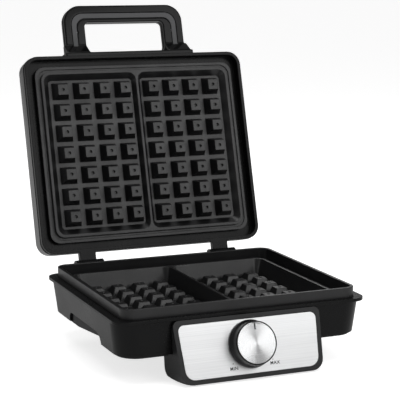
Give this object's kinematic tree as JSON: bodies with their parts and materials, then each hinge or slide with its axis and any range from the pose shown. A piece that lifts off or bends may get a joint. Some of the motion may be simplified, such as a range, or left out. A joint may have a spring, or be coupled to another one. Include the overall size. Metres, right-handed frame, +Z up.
{
  "type": "waffle maker",
  "caption": "Double waffle maker, lid tilted open: pegged cooking plates, loop handle on the lid, and a tilted front control box with a steel panel and a thermostat knob.",
  "frame": {"origin": "on the table, under the middle of the object as it stands with its lid open", "axes": "+X to the user's right, +Y to the back, +Z up; the lid's hinge axis is parallel to X"},
  "size_m": [0.2638, 0.3783, 0.3376],
  "materials": {
    "housing_satin": "satin dark grey moulding",
    "cover_gloss": "satin black moulding",
    "underside_plastic": "fine-grained black moulding",
    "nonstick": "cast aluminium with a black non-stick coating",
    "handle_gloss": "glossy black moulding",
    "grip_strip": "matt grey inlay",
    "panel_steel": "brushed side to side",
    "knob_black": "black moulding",
    "knob_face": "spun in fine circles",
    "pointer_black": "black inlay",
    "spring_steel": "plain spring steel",
    "heater_sheath": "heat-tinted steel sheath",
    "pressed_sheet": "plain pressed sheet",
    "screw_steel": "zinc-plated steel",
    "pin_steel": "ground steel",
    "foot_rubber": "matt black rubber",
    "phenolic_brown": "brown moulded phenolic",
    "ceramic_ivory": "ivory heat-proof moulding",
    "wire_red": "silicone sleeving",
    "fuse_brass": "plain metal can",
    "lamp_red": "clear red lens",
    "lamp_green": "clear green lens"
  },
  "bodies": {
    "base": {"base_housing": "housing_satin", "bottom_cover": "underside_plastic", "rubber_feet": "foot_rubber", "bottom_cover_screws": "screw_steel", "lower_plate": "nonstick", "lower_plate_screws": "screw_steel", "lower_heater": "heater_sheath", "lower_heater_clamps": "pressed_sheet", "lower_heat_shield": "pressed_sheet", "lower_thermal_fuse": "fuse_brass", "control_box": "housing_satin", "control_box_screws": "screw_steel", "fascia_panel": "panel_steel", "thermostat_body": "phenolic_brown", "thermostat_bracket": "pressed_sheet", "terminal_block": "ceramic_ivory", "cord_gland": "foot_rubber", "base_leads": "wire_red", "hinge_pins": "pin_steel", "hinge_pin_clips": "spring_steel"},
    "lid": {"lid_frame": "housing_satin", "lid_cover": "cover_gloss", "lid_cover_screws": "screw_steel", "upper_plate": "nonstick", "upper_plate_screws": "screw_steel", "upper_heater": "heater_sheath", "upper_heater_clamps": "pressed_sheet", "upper_heat_shield": "pressed_sheet", "upper_thermal_fuse": "fuse_brass", "lid_leads": "wire_red", "handle_top_shell": "handle_gloss", "handle_under_shell": "handle_gloss", "handle_strip": "grip_strip", "handle_screws": "screw_steel", "power_lamp_lens": "lamp_red", "ready_lamp_lens": "lamp_green", "lamp_holder": "ceramic_ivory"},
    "knob": {"knob_body": "knob_black", "knob_cap": "knob_face", "knob_pointer": "pointer_black", "knob_spring": "spring_steel", "thermostat_shaft": "pin_steel"}
  },
  "joints": [
    {"name": "lid_hinge", "type": "hinge", "parent": "base", "child": "lid", "pos_m": [0, 0.07259, 0.06325], "axis": [1, 0, 0], "range_deg": [0, 106.5]},
    {"name": "knob_turn", "type": "hinge", "parent": "base", "child": "knob", "pos_m": [0, -0.16926, 0.0322], "axis": [0, -0.9478, 0.319], "range_deg": [-135, 135]}
  ]
}
